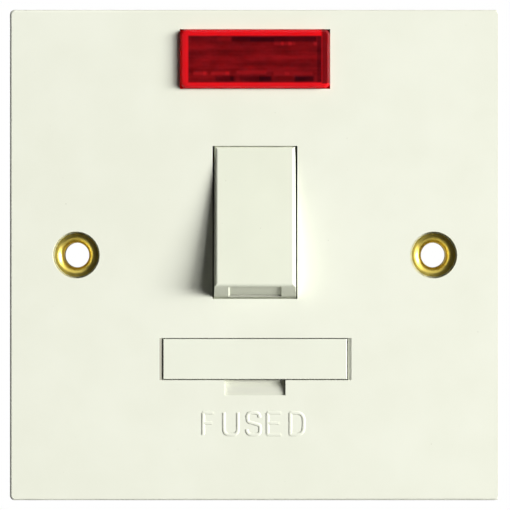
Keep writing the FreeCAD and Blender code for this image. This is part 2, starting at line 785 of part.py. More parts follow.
def make_seats(body):
    """Pads that carry the near links and stop the tails of the two contact arms."""
    near_back = f"({NEAR_LINK} - strip_thick)"
    stop_level = f"({ARM_PIVOT} - arm_tail * {SIN_ARM} - contact_gap)"
    stop_up = f"rocker_up - arm_tail * {COS_ARM}"
    for side, sign in SIDES.items():
        block(body, f"{side}_supply_seat", f"{sign}2 * pole_across", "supply_run_up", "seat_size",
              "seat_size", FLOOR, near_back)
        block(body, f"{side}_stop", f"{sign}pole_across", stop_up, "seat_size", "seat_size",
              FLOOR, stop_level)
    block(body, "outlet_seat", f"-{LEAD_ACROSS}", "-seat_size", "seat_size", "seat_size", FLOOR,
          near_back)
    block(body, "load_seat", "post_across", "-carrier_down", "seat_size", "seat_size", FLOOR,
          near_back)


def make_housing_openings(body):
    for side, sign in SIDES.items():
        window(body, f"{side}_strap_notch", f"{sign}(housing_width / 2 - housing_wall / 2)", "0",
               "2 * housing_wall", "strap_neck + 2 * fit_gap", "strap_level", INNER_FACE)
        hole(body, f"{side}_fixing_scallop", f"{sign}fixing_centres / 2", "0",
             "strap_ear / 2 + eyelet_gap", BACK, INNER_FACE)
        window(body, f"{side}_lead_notch", f"{sign}{LEAD_ACROSS}",
               "housing_top - housing_wall / 2", "lead_notch", "2 * housing_wall",
               "lamp_level - 2 * lead_radius", INNER_FACE)
        wire_entry(body, f"{side}_supply", f"{sign}{TERMINAL_ACROSS}", "housing_top", True)
        wire_entry(body, f"{side}_load", f"{sign}{TERMINAL_ACROSS}", "-housing_bottom", False)
        wire_entry(body, f"{side}_earth", f"{sign}earth_across", "-housing_bottom", False)
        for name, across, height in (
            ("supply", TERMINAL_ACROSS, TERMINAL_UP),
            ("load", TERMINAL_ACROSS, TERMINAL_DOWN),
            ("earth", "earth_across", TERMINAL_DOWN),
        ):
            hole(body, f"{side}_{name}_access", f"{sign}{across}", height,
                 "screw_head_radius + access_clear", BACK, FLOOR)


def wire_entry(body, name, across, edge, downwards):
    """A round hole through the top or the bottom wall, in line with a terminal's bore."""
    sketch = new_sketch(body, f"{name}_entry_sketch", "top", across, f"-{WIRE_LEVEL}", edge)
    circle(sketch, "wire_entry")
    extrude(body, "Pocket", f"{name}_entry", sketch, "housing_wall + fit_gap",
            reverse=not downwards)


# Terminals: brass blocks with a bore for the wire and a clamping screw from behind
def make_terminal(name, across, up, front):
    body = new_piece(f"{name}_terminal")
    block(body, "block", across, up, "terminal_width", "terminal_height", FLOOR, front)
    soften(body, "Chamfer", "edges", "terminal_edge", lambda edge: along(edge, "y"))
    bore = new_sketch(body, "wire_sketch", "top", across, f"-{WIRE_LEVEL}", up)
    circle(bore, "wire_radius")
    extrude(body, "Pocket", "wire_bore", bore, "2 * terminal_height", both=True)
    hole(body, "screw_hole", across, up, "screw_radius + fit_gap", FLOOR, WIRE_LEVEL)


def make_terminal_screw(name, across, up):
    body = new_piece(f"{name}_terminal_screw")
    under_head = f"({FLOOR} - screw_lift)"
    tip = f"({WIRE_LEVEL} - wire_radius + fit_gap)"
    back = f"({under_head} - screw_head_height)"
    post(body, "shank", across, up, "screw_radius", under_head, tip)
    post(body, "head", across, up, "screw_head_radius", back, under_head)
    soften(body, "Chamfer", "head_edge", "screw_head_edge", lambda edge: at_level(edge, back))
    window(body, "slot", across, up, "screw_slot", "3 * screw_head_radius", back,
           f"{back} + screw_slot_depth")


def make_terminals():
    rows = {
        "live_supply": (f"-{TERMINAL_ACROSS}", TERMINAL_UP),
        "neutral_supply": (TERMINAL_ACROSS, TERMINAL_UP),
        "neutral_load": (f"-{TERMINAL_ACROSS}", TERMINAL_DOWN),
        "live_load": (TERMINAL_ACROSS, TERMINAL_DOWN),
        "earth_supply": ("-earth_across", TERMINAL_DOWN),
        "earth_load": ("earth_across", TERMINAL_DOWN),
    }
    for name, (across, up) in rows.items():
        front = "strap_level" if name.startswith("earth") else f"({FLOOR} + terminal_depth)"
        make_terminal(name, across, up, front)
        make_terminal_screw(name, across, up)


def make_housing_screws():
    number = 0
    for sign in SIDES.values():
        for up in ("post_up", "-post_down"):
            number += 1
            body = new_piece(f"housing_screw_{number}")
            across = f"{sign}post_across"
            under_head = f"({BACK} + housing_screw_head_height)"
            post(body, "shank", across, up, "housing_screw_radius", under_head,
                 "post_level + housing_screw_grip")
            post(body, "head", across, up, "housing_screw_head", BACK, under_head)
            depth = f"{BACK} + screw_slot_depth"
            window(body, "upright_slot", across, up, "screw_slot", "cross_slot", BACK, depth)
            window(body, "level_slot", across, up, "cross_slot", "screw_slot", BACK, depth)


# Links: brass strips with upright tabs under the contact arms
def strip(body, name, start, end, level):
    """A strip between two points of the links' layout, each given as (across, up)."""
    back = f"{level} - strip_thick"
    if start[1] == end[1]:
        span = f"abs(({end[0]}) - ({start[0]})) + strip_width"
        middle = f"(({end[0]}) + ({start[0]})) / 2"
        block(body, name, middle, start[1], span, "strip_width", back, level)
    else:
        span = f"abs(({end[1]}) - ({start[1]})) + strip_width"
        middle = f"(({end[1]}) + ({start[1]})) / 2"
        block(body, name, start[0], middle, "strip_width", span, back, level)


def pivot_tab(body, across, level):
    block(body, "pivot_tab", across, "rocker_up", "pivot_tab", "strip_thick", level,
          f"{ARM_PIVOT} - pivot_gap")


def make_supply_links():
    """From each supply terminal to the fixed contact above the arm's pivot."""
    contact_up = f"rocker_up + arm_reach * {COS_ARM}"
    for side, sign in (("live", "-"), ("neutral", "")):
        body = new_piece(f"{side}_supply_link")
        inner = f"{sign}pole_across"
        outer = f"{sign}({TERMINAL_SIDE} - strip_width / 2)"
        strip(body, "run", (outer, "supply_run_up"), (inner, "supply_run_up"), NEAR_LINK)
        strip(body, "drop", (inner, contact_up), (inner, "supply_run_up"), NEAR_LINK)
        tip = new_piece(f"{side}_fixed_tip")
        post(tip, "rivet", inner, contact_up, "tip_radius", NEAR_LINK,
             f"{NEAR_LINK} + tip_height")


def make_outlet_links():
    """From each arm's pivot onwards: live to the fuse, neutral to its load terminal."""
    live = new_piece("live_outlet_link")
    side = f"-{LEAD_ACROSS}"
    fuse = "-carrier_down"
    strip(live, "run", (side, "rocker_up"), ("-pole_across", "rocker_up"), NEAR_LINK)
    strip(live, "drop", (side, fuse), (side, "rocker_up"), NEAR_LINK)
    strip(live, "clip_pad", (f"-{CLIP_ACROSS}", fuse), (side, fuse), NEAR_LINK)
    pivot_tab(live, "-pole_across", NEAR_LINK)
    neutral = new_piece("neutral_outlet_link")
    far = f"-{TERMINAL_ACROSS}"
    low = "-crossing_down"
    strip(neutral, "run", ("pole_across", "rocker_up"), (LEAD_ACROSS, "rocker_up"), FAR_LINK)
    strip(neutral, "drop", (LEAD_ACROSS, low), (LEAD_ACROSS, "rocker_up"), FAR_LINK)
    strip(neutral, "crossing", (far, low), (LEAD_ACROSS, low), FAR_LINK)
    foot = f"{TERMINAL_DOWN} + terminal_height / 2 + strip_width / 2"
    strip(neutral, "foot", (far, foot), (far, low), FAR_LINK)
    pivot_tab(neutral, "pole_across", FAR_LINK)
    load = new_piece("live_load_link")
    strip(load, "run", (CLIP_ACROSS, fuse), (TERMINAL_ACROSS, fuse), NEAR_LINK)
    strip(load, "foot", (TERMINAL_ACROSS, foot), (TERMINAL_ACROSS, fuse), NEAR_LINK)


# Fuse clips: forked springs that take the fuse's caps, open to the front
def make_clip(name, sign):
    body = new_piece(name)
    across = f"{sign}{CLIP_ACROSS}"
    fork = new_sketch(body, "fork_sketch", "side", f"-{FUSE_LEVEL}", "-carrier_down", across)
    mouth = "-clip_mouth"
    neck = "(clip_lip - clip_mouth)"
    flared = f"({CLIP_INNER} + clip_flare)"
    outer = f"({CLIP_INNER} + clip_thick)"
    flared_outer = f"({outer} + clip_flare)"
    outline(fork, [
        (mouth, flared),
        (neck, CLIP_INNER),
        (CLIP_INNER, CLIP_INNER),
        (CLIP_INNER, f"-{CLIP_INNER}"),
        (neck, f"-{CLIP_INNER}"),
        (mouth, f"-{flared}"),
        (mouth, f"-{flared_outer}"),
        (neck, f"-{outer}"),
        (outer, f"-{outer}"),
        (outer, outer),
        (neck, outer),
        (mouth, flared_outer),
    ])
    extrude(body, "Pad", "fork", fork, "clip_width", both=True)
    block(body, "foot", across, "-carrier_down", "clip_width", "strip_thick", NEAR_LINK,
          f"{FUSE_LEVEL} - {outer}")


# Fuse: ceramic barrel with two pressed caps
def make_fuse():
    barrel = new_piece("fuse_barrel")
    core = new_sketch(barrel, "barrel_sketch", "side", f"-{FUSE_LEVEL}", "-carrier_down")
    circle(core, "fuse_radius - fuse_cap_wall")
    extrude(barrel, "Pad", "barrel", core, "fuse_length - 2 * fuse_cap_wall", both=True)
    for side, sign in SIDES.items():
        cap = new_piece(f"fuse_cap_{side}")
        section = new_sketch(cap, "cap_section", "top", "0", f"-{FUSE_LEVEL}", "-carrier_down")
        inner = "(fuse_radius - fuse_cap_wall)"
        end = "(fuse_length / 2)"
        outline(section, [
            (f"{sign}({end} - fuse_cap)", inner),
            (f"{sign}({end} - fuse_cap_wall)", inner),
            (f"{sign}({end} - fuse_cap_wall)", "0"),
            (f"{sign}{end}", "0"),
            (f"{sign}{end}", "fuse_radius"),
            (f"{sign}({end} - fuse_cap)", "fuse_radius"),
        ])
        revolve(cap, "Revolution", "cap", section, "H_Axis")


# Fuse carrier: a drawer with a flush front, two guides and a saddle for the barrel
def make_carrier():
    body = new_piece("fuse_carrier")
    wide = f"({SLOT_WIDTH} - 2 * carrier_gap)"
    tall = "(slot_height - 2 * carrier_gap)"
    block_back = "(plate_rise - carrier_thick)"
    block(body, "front", "0", "-carrier_down", wide, tall, block_back, "plate_rise")
    soften(body, "Fillet", "front_edge", "carrier_edge",
           lambda edge: at_level(edge, "plate_rise"))
    guide = f"({wide} / 2 - fuse_length / 2 - guide_clear)"
    for side, sign in SIDES.items():
        block(body, f"{side}_guide", f"{sign}({wide} / 2 - {guide} / 2)", "-carrier_down", guide,
              "guide_height", f"({block_back} - guide_length)", block_back)
    block(body, "saddle", "0", "-carrier_down", "2 * saddle_half", tall,
          f"({FUSE_LEVEL} - saddle_hook)", block_back)
    bed = new_sketch(body, "bed_sketch", "side", f"-{FUSE_LEVEL}", "-carrier_down")
    circle(bed, "fuse_radius - fuse_cap_wall + fit_gap")
    extrude(body, "Pocket", "bed", bed, "2 * saddle_half", both=True)


# Rocker: a hollow dolly with drum-shaped ends, trunnions and a tube for each plunger
def make_rocker():
    body = new_piece("rocker")
    side = new_sketch(body, "side_sketch", "side")
    hip = "rocker_hip_half"
    skirt_half = "sqrt(rocker_reach ^ 2 - rocker_skirt ^ 2)"
    outline(side, [
        ("-rocker_face", ROCKER_HALF, "rocker_reach", -1),
        ("-rocker_skirt", skirt_half),
        ("-rocker_skirt", "rocker_shoulder"),
        ("rocker_hip", hip),
        ("rocker_hip", f"-{hip}"),
        ("-rocker_skirt", "-rocker_shoulder"),
        ("-rocker_skirt", f"-{skirt_half}", "rocker_reach", -1),
        ("-rocker_face", f"-{ROCKER_HALF}"),
    ])
    extrude(body, "Pad", "drum", side, ROCKER_WIDE, both=True)
    for name, sign in SIDES.items():
        lean = new_sketch(body, f"{name}_lean_sketch", "top")
        outline(lean, [
            (f"{sign}{ROCKER_WIDE} / 2", "0"),
            (f"{sign}({ROCKER_WIDE} / 2 - rocker_lean)", "-rocker_face"),
            (f"{sign}({ROCKER_WIDE} / 2 - rocker_lean)", "-rocker_face - 1"),
            (f"{sign}({ROCKER_WIDE} / 2 + 1)", "-rocker_face - 1"),
            (f"{sign}({ROCKER_WIDE} / 2 + 1)", "0"),
        ])
        extrude(body, "Pocket", f"{name}_lean", lean, "4 * rocker_reach", both=True)
    soften(body, "Fillet", "face_edge", "rocker_edge",
           lambda edge: at_level(edge, "rocker_face"))
    make_rocker_flashes(body)
    window(body, "inside", "0", "0", f"{ROCKER_WIDE} - 2 * rocker_wall",
           f"2 * ({ROCKER_HALF} - rocker_wall)", "-rocker_hip", "rocker_face - rocker_skin")
    for name, sign in SIDES.items():
        across = f"{sign}pole_across"
        post(body, f"{name}_tube", across, "0", "plunger_radius + plunger_gap + tube_wall",
             "-tube_end", "rocker_face - rocker_skin")
        hole(body, f"{name}_bore", across, "0", "plunger_radius + plunger_gap", "-tube_end",
             "rocker_face - rocker_skin")
    tip = f"({ROCKER_WIDE} / 2 + well_wall - trunnion_play)"
    for name, sign in SIDES.items():
        pin = new_sketch(body, f"{name}_trunnion_sketch", "side", out=f"{sign}{tip}")
        circle(pin, "trunnion_radius")
        extrude(body, "Pad", f"{name}_trunnion", pin, "well_wall + rocker_wall",
                reverse=not sign)
    ride_rocker(body)


def make_rocker_flashes(body):
    """The shallow recess in each drum-shaped end, with sloping sides."""
    for end, sign in (("upper", ""), ("lower", "-")):
        flash = new_sketch(body, f"{end}_flash_sketch", "side")
        inner = "(rocker_reach - flash_depth)"
        front = "(rocker_face - flash_margin)"
        turn = 1 if sign else -1
        outline(flash, [
            (f"-{front}", f"{sign}sqrt({inner} ^ 2 - {front} ^ 2)", inner, turn),
            (f"-{FLASH_END}", f"{sign}sqrt({inner} ^ 2 - {FLASH_END} ^ 2)"),
            (f"-{FLASH_END}", f"{sign}(rocker_reach + 1)"),
            (f"-{front}", f"{sign}(rocker_reach + 1)"),
        ])
        extrude(body, "Pocket", f"{end}_flash", flash, "flash_width", both=True)
    soften(body, "Chamfer", "flash_side", "flash_slope", beside_flash)


def beside_flash(edge):
    """Whether the edge is where a side of a recess meets the drum-shaped end."""
    return all(abs(abs(corner.Point.x) - value("flash_width / 2")) < 0.001
               and abs(math.hypot(corner.Point.y, corner.Point.z) - value("rocker_reach")) < 0.001
               for corner in edge.Vertexes)


# Plungers and springs of the two poles, carried by the rocker
def make_plungers():
    for name, sign in (("live", "-"), ("neutral", "")):
        body = new_piece(f"{name}_plunger")
        section = new_sketch(body, "section", "top", f"{sign}pole_across", "0")
        outline(section, [
            ("0", "plunger_shoulder"),
            ("plunger_radius", "plunger_shoulder"),
            ("plunger_radius", "tube_end + plunger_step"),
            ("plunger_nose", "tube_end + plunger_step + plunger_taper"),
            ("plunger_nose", "plunger_reach - plunger_nose", "plunger_nose", 1),
            ("0", "plunger_reach"),
        ])
        revolve(body, "Revolution", "pin", section)
        ride_rocker(body)


def make_springs():
    for name, sign in (("live", "-"), ("neutral", "")):
        body = new_piece(f"{name}_plunger_spring")
        start = "rocker_face - rocker_skin - spring_wire / 2"
        wire = new_sketch(body, "wire_section", "top", "plunger_radius - spring_wire / 2",
                          f"-({start})")
        circle(wire, "spring_wire / 2")
        coil = body.newObject("PartDesign::AdditiveHelix", "coil")
        coil.Profile = wire
        features = body.Origin.OriginFeatures
        axis = next(item for item in features if item.Role == "Y_Axis")
        coil.ReferenceAxis = (axis, [""])
        coil.Mode = "height-turns-angle"
        bind(coil, "Height", f"{start} + plunger_shoulder - spring_wire / 2")
        bind(coil, "Turns", "spring_turns")
        body.Tip = coil
        ride_rocker(body, f"{sign}pole_across")


# Contact arms: see-saw strips that the plungers tip, each with a silver tip
def make_arms():
    for name, sign in (("live", "-"), ("neutral", "")):
        body = new_piece(f"{name}_contact_arm")
        length = "(arm_reach + arm_head + arm_tail)"
        block(body, "strip", "0", "(arm_reach + arm_head - arm_tail) / 2", "arm_width", length,
              "0", "arm_thick")
        soften(body, "Fillet", "corners", "arm_corner", lambda edge: along(edge, "y"))
        half = "sqrt(ear_radius ^ 2 - ear_root ^ 2)"
        for side, turn in SIDES.items():
            middle = f"{turn}(pivot_tab / 2 + pivot_gap + ear_thick / 2)"
            ear = new_sketch(body, f"{side}_ear_sketch", "side", out=middle)
            outline(ear, [
                ("0", f"-{half}"),
                ("ear_root", f"-{half}", "ear_radius", 1),
                ("ear_root", half),
                ("0", half),
            ])
            extrude(body, "Pad", f"{side}_ear", ear, "ear_thick", both=True)
        ride_arm(body, sign)
        tip = new_piece(f"{name}_moving_tip")
        post(tip, "rivet", "0", "arm_reach", "tip_radius", "-tip_height", "0")
        ride_arm(tip, sign)


make_faceplate()
make_back_housing()
make_lens()
make_lamp()
make_leads()
make_resistor()
for side_name, side_sign in SIDES.items():
    make_eyelet(side_name, side_sign)
make_earth_strap()
make_terminals()
make_housing_screws()
make_supply_links()
make_outlet_links()
make_clip("fuse_clip_supply", "-")
make_clip("fuse_clip_load", "")
make_fuse()
make_carrier()
make_rocker()
make_plungers()
make_springs()
make_arms()
doc.recompute()

# Every object has to be sound before anything is written
for thing in doc.Objects:
    if "Invalid" in thing.State or "Error" in thing.State:
        raise RuntimeError(f"{thing.Name} ({thing.Label}) failed: {thing.State}")
for piece in pieces:
    if piece.Shape.isNull() or not piece.Shape.isValid():
        raise RuntimeError(f"{piece.Label} has no valid shape")

os.makedirs("parts", exist_ok=True)
for piece in pieces:
    piece.Shape.exportStep(f"parts/{piece.Label}.step")
    print(piece.Label, len(piece.Shape.Solids), round(piece.Shape.Volume, 2))
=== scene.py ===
# %% [markdown]
# # A switched fused spur unit
# This scene dresses a wall unit that was modelled in CAD: a cream plate with a rocker switch,
# a drawer that holds a cartridge fuse, a red lens over a small lamp, and two brass eyelets for
# the fixing screws. The CAD solids already have the right shapes and places, so they stay.
# What is left for Blender is finish: the grain of moulded plastic, the tint of brass, the depth
# of the lens, and a raised word too fine for the solids. The first step loads those solids.

# %% Load the solids
import math

import bmesh
import bpy
from mathutils import Matrix, Vector


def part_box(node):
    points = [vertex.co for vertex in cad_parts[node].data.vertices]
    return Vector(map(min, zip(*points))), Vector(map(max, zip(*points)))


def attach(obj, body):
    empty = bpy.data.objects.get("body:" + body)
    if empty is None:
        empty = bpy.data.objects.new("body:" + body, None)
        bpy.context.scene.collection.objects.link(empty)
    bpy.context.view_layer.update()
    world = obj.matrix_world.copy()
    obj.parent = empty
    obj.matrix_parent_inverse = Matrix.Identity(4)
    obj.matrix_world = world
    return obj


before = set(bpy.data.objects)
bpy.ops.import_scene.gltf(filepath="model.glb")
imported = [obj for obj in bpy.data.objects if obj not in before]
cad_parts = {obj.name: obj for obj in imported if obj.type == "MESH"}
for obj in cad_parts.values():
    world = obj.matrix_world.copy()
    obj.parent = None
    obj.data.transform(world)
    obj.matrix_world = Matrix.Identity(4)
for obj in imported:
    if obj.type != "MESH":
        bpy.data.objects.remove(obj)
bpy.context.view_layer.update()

MM = 0.001

# %% [markdown]
# ## The camera
# The photograph looks straight at the plate from far away, so its sides don't show. A long lens
# at 0.9 m does the same. The lens is worked out from the width that the picture should take in
# at the plate's front, so the plate fills as much of the frame as it does in the photograph.

# %% Set the camera
PLATE_FRONT = 9.0 * MM
VIEW_WIDTH = 86.0 * MM
CAMERA_GAP = 0.9

camera_data = bpy.data.cameras.new("straight_on")
camera_data.lens = camera_data.sensor_width * CAMERA_GAP / VIEW_WIDTH
camera = bpy.data.objects.new("straight_on", camera_data)
camera.location = (0, -PLATE_FRONT - CAMERA_GAP, 0)
camera.rotation_euler = (math.radians(90), 0, 0)
bpy.context.scene.collection.objects.link(camera)
bpy.context.scene.camera = camera
bpy.context.scene.view_settings.view_transform = "Standard"
print("lens in mm", round(camera_data.lens, 1))

# %% [markdown]
# ## Tools for node trees
# The room and every finish are small node trees. Nodes could be added and linked by hand, which
# takes three lines each, so these helpers keep the trees short: feed joins a socket to a node or
# sets a plain value, add_node makes a node and feeds its sockets by name, and maths adds one sum.

# %% Write the node helpers
def empty_tree(owner):
    """The node tree of a world or a material, switched on and emptied."""
    owner.use_nodes = True
    owner.node_tree.nodes.clear()
    return owner.node_tree


def feed(socket, source):
    if isinstance(source, bpy.types.NodeSocket):
        socket.id_data.links.new(source, socket)
    else:
        socket.default_value = source


def add_node(tree, kind, settings=None, **inputs):
    node = tree.nodes.new("ShaderNode" + kind)
    for name, setting in (settings or {}).items():
        setattr(node, name, setting)
    for name, source in inputs.items():
        feed(node.inputs[name.replace("_", " ")], source)
    return node


def maths(tree, operation, first, second=0.0, third=None):
    node = add_node(tree, "Math", {"operation": operation})
    feed(node.inputs[0], first)
    feed(node.inputs[1], second)
    if third is not None:
        feed(node.inputs[2], third)
    return node.outputs[0]


print("node helpers ready")

# %% [markdown]
# ## The room
# The background is plain white, which the world gives to camera, glossy and transmitted rays
# alone. Diffuse light from the world stays dim, because the photograph's shadows are nearly
# black. A Light Path node tells the rays apart, and the floor will use the same test.

# %% Make the white room
AMBIENT = 0.01


def seen_ray(tree):
    """1 for rays from the camera, a mirror or a clear piece, 0 for light that bounces."""
    ray = add_node(tree, "LightPath")
    seen = maths(tree, "MAXIMUM", ray.outputs["Is Camera Ray"], ray.outputs["Is Glossy Ray"])
    return maths(tree, "MAXIMUM", seen, ray.outputs["Is Transmission Ray"])


def mix_shaders(tree, share, first, second):
    node = add_node(tree, "MixShader", Fac=share)
    feed(node.inputs[1], first.outputs[0])
    feed(node.inputs[2], second.outputs[0])
    return node


world = bpy.data.worlds.new("white_room")
bpy.context.scene.world = world
room = empty_tree(world)
dim_air = add_node(room, "Background", Strength=AMBIENT)
white_air = add_node(room, "Background", Color=(1, 1, 1, 1))
air = mix_shaders(room, seen_ray(room), dim_air, white_air)
feed(add_node(room, "OutputWorld").inputs["Surface"], air.outputs[0])
print("ambient", AMBIENT)

# %% [markdown]
# ## Lamps
# A soft light stands to the right, well off the plate's normal, as in the photograph: it makes
# the right-hand walls bright and throws long soft shadows to the left. How fast the rocker's
# shadow fades tells how wide that light is: a strong middle and a wider, weaker glow round it, so
# there are two lamps. Lamps behind the plate light the back and the sides for other views.

# %% Hang the lamps
KEY_GAP, KEY_ANGLE = 5.0, 64
GLOW_GAP, GLOW_ANGLE = 5.3, 57
LAMP_RISE = 7


def hang_lamp(name, place, width, height, power):
    """A square-cornered lamp that looks at the origin, with its size in metres."""
    data = bpy.data.lights.new(name, "AREA")
    data.shape = "RECTANGLE"
    data.size = width
    data.size_y = height
    data.energy = power
    lamp = bpy.data.objects.new(name, data)
    lamp.location = place
    lamp.rotation_euler = Vector(place).to_track_quat("Z", "Y").to_euler()
    lamp.visible_camera = False
    bpy.context.scene.collection.objects.link(lamp)


def place_off_normal(gap, angle):
    """A place given by its distance and its angle off the plate's normal, in degrees."""
    turn, rise = math.radians(angle), math.radians(LAMP_RISE)
    return (gap * math.sin(turn) * math.cos(rise),
            -gap * math.cos(turn) * math.cos(rise),
            gap * math.sin(rise))


hang_lamp("key_lamp", place_off_normal(KEY_GAP, KEY_ANGLE), 2.1, 1.8, 300.0)
hang_lamp("glow_lamp", place_off_normal(GLOW_GAP, GLOW_ANGLE), 4.1, 2.1, 328.0)
hang_lamp("back_left_lamp", (-0.7, 0.65, 0.35), 0.6, 0.6, 7.0)
hang_lamp("back_right_lamp", (0.5, 0.95, 0.5), 0.6, 0.6, 5.0)
print("key lamp at", [round(along, 2) for along in place_off_normal(KEY_GAP, KEY_ANGLE)])

# %% [markdown]
# ## Stage pieces
# A floor lies below, out of the front view. It is a plain grid, and so are four black cards, on
# the left, behind the camera, behind the plate and low in front, as photographers use: no camera
# sees them, but brass and polished plastic mirror them, which keeps shadows deep and metal
# lively.

# %% Build the stage
FLOOR_DROP = 0.1
FLOOR_SIDE = 1.6
CARD_LIFT = 0.005
FACING_CAMERA = Matrix.Rotation(math.radians(90), 4, "X")
FACING_SIDE = Matrix.Rotation(math.radians(90), 4, "Y")
LYING = Matrix.Identity(4)
CARDS = {
    "side_card": (1.6, (-0.45, -0.25, 0), FACING_SIDE),
    "camera_card": (1.7, (-0.5, -1.1, 0), FACING_CAMERA),
    "bore_card": (0.4, (0, 0.25, 0), FACING_CAMERA),
    "low_card": (1.0, (0.1, -0.6, CARD_LIFT - FLOOR_DROP), LYING),
}


def stage_sheet(name, side, place, turn):
    shape = bmesh.new()
    bmesh.ops.create_grid(shape, x_segments=1, y_segments=1, size=side / 2,
                          matrix=Matrix.Translation(place) @ turn)
    mesh = bpy.data.meshes.new(name)
    shape.to_mesh(mesh)
    shape.free()
    sheet = bpy.data.objects.new(name, mesh)
    bpy.context.scene.collection.objects.link(sheet)
    return sheet


floor = stage_sheet("floor", FLOOR_SIDE, (0, 0, -FLOOR_DROP), LYING)
cards = {name: stage_sheet(name, *card) for name, card in CARDS.items()}
for card in cards.values():
    card.visible_camera = False
    card.visible_shadow = False
    card.visible_transmission = False
cards["bore_card"].visible_diffuse = False
print("floor at", -FLOOR_DROP, "cards", len(cards))

# %% [markdown]
# ## Tools for finishes
# Each finish is one Principled shader whose colour and roughness drift with noise. A flat colour
# would look like paint from a step away, and a picture would need unwrapping, so the patterns
# read Object coordinates in metres: a noise scale of 1000 makes millimetre grain.

# %% Write the finish helpers
FINISHES = {}


def colour(red, green, blue):
    """A display colour from 0 to 255, as the linear colour that shaders want."""
    parts = [part / 255 for part in (red, green, blue)]
    return tuple(((part + 0.055) / 1.055) ** 2.4 if part > 0.04 else part / 12.92
                 for part in parts) + (1.0,)


def new_finish(name, **plain):
    """A new finish: its tree, its shader, its output node and its Object coordinates."""
    finish = bpy.data.materials.new(name)
    tree = empty_tree(finish)
    shader = add_node(tree, "BsdfPrincipled", **plain)
    surface = add_node(tree, "OutputMaterial").inputs["Surface"]
    feed(surface, shader.outputs["BSDF"])
    FINISHES[name] = finish
    return tree, shader, surface, add_node(tree, "TexCoord").outputs["Object"]


def noise(tree, place, scale, detail=2.0, stretch=None, distortion=0.0):
    if stretch:
        place = add_node(tree, "Mapping", Vector=place, Scale=stretch).outputs["Vector"]
    return add_node(tree, "TexNoise", Vector=place, Scale=scale, Detail=detail,
                    Distortion=distortion).outputs["Fac"]


def between(tree, source, low, high, start=0.0, end=1.0):
    """Maps low..high smoothly to start..end, and keeps it there outside."""
    node = add_node(tree, "MapRange", {"interpolation_type": "SMOOTHSTEP"}, Value=source,
                    From_Min=low, From_Max=high, To_Min=start, To_Max=end)
    return node.outputs["Result"]


def tint(tree, share, first, second):
    """The first colour where the share is 0, the second where it is 1. A Mix node keeps sockets
    for plain numbers too, so its colours are inputs 6 and 7 and output 2."""
    node = add_node(tree, "Mix", {"data_type": "RGBA"})
    feed(node.inputs[0], share)
    feed(node.inputs[6], first)
    feed(node.inputs[7], second)
    return node.outputs[2]


def blend(tree, first, share, second):
    """The first pattern times its share, plus the second times what is left."""
    rest = maths(tree, "MULTIPLY", second, 1.0 - share)
    return maths(tree, "MULTIPLY_ADD", first, share, rest)


def relief(tree, shader, height, depth):
    bump = add_node(tree, "Bump", Height=height, Distance=depth, Strength=1.0)
    feed(shader.inputs["Normal"], bump.outputs["Normal"])


print("finish helpers ready")

# %% [markdown]
# ## Floor and cards
# The floor's pale surface turns into plain white far from the object, so that it has no visible
# edge. Only the camera and mirror-like rays see it pale: to the light that bounces off it, it is
# dark grey, so that it doesn't fill the photograph's deep shadows from below. Seen from
# underneath it is clear, so that it hides nothing. The cards are flat black.

# %% Finish the stage
FADE_START, FADE_END = 0.25, 0.7

tree, shader, surface, place = new_finish("pale_floor", Roughness=0.9)
shown = seen_ray(tree)
feed(shader.inputs["Base Color"], tint(tree, shown, colour(64, 64, 62), colour(244, 244, 242)))
away = add_node(tree, "VectorMath", {"operation": "LENGTH"}, Vector=place).outputs["Value"]
far_off = maths(tree, "MULTIPLY", shown, between(tree, away, FADE_START, FADE_END))
white = add_node(tree, "Emission", Strength=1.0, Color=(1, 1, 1, 1))
upper_side = mix_shaders(tree, far_off, shader, white)
underneath = add_node(tree, "NewGeometry").outputs["Backfacing"]
two_sided = mix_shaders(tree, underneath, upper_side, add_node(tree, "BsdfTransparent"))
feed(surface, two_sided.outputs[0])
floor.data.materials.append(FINISHES["pale_floor"])

new_finish("black_felt", Roughness=1.0, Base_Color=(0.006, 0.006, 0.008, 1))
for card in cards.values():
    card.data.materials.append(FINISHES["black_felt"])
print("stage finished")

# %% [markdown]
# ## Painted shade in the recesses
# A matt grey film of painted shade lies where shade falls: on the ramp at the drawer's left end,
# in the notch under the drawer and on the narrow shelf of the rocker's grip recess. Its grey is
# painted shade, and the same mask makes these places matt. It could be painted on by hand, which
# needs an unwrapped mesh. Here a box on the front finds each place, and on the plate a depth
# below the front does too. The ramp's box is worked out from the drawer beside it. Boxes are
# given in millimetres.

# %% Find the places of painted shade
# Painted shade: how strongly the grey tints each recess, and the grey itself.
RAMP_SHADE = 0.95
NOTCH_SHADE = 0.32
SHELF_SHADE = 0.6
SHADE_GREY = colour(140, 139, 126)
DRAWER_GAP = 0.15
RAMP_WIDTH = 0.45
RAMP_DEPTH = 0.25
NOTCH_MIDDLE, NOTCH_HALF = (0.0, -22.4), (6.0, 1.4)
SHELF_MIDDLE, SHELF_HALF = (0.0, -6.87), (4.35, 0.17)

drawer_low, drawer_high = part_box("fuse_carrier")
DRAWER_UP = (drawer_low.z + drawer_high.z) / 2 / MM
RAMP_MIDDLE = drawer_low.x / MM - DRAWER_GAP - RAMP_WIDTH / 2
RAMP_HALF_HEIGHT = (drawer_high.z - drawer_low.z) / 2 / MM + DRAWER_GAP


def box_mask(tree, across, up, centre, half, soft):
    """1 inside a rectangle on the front, 0 outside, with a soft border."""
    masks = []
    for source, middle, reach in zip((across, up), centre, half):
        gap = maths(tree, "ABSOLUTE", maths(tree, "SUBTRACT", source, middle * MM))
        masks.append(between(tree, gap, (reach - soft) * MM, (reach + soft) * MM, 1.0, 0.0))
    return maths(tree, "MULTIPLY", masks[0], masks[1])


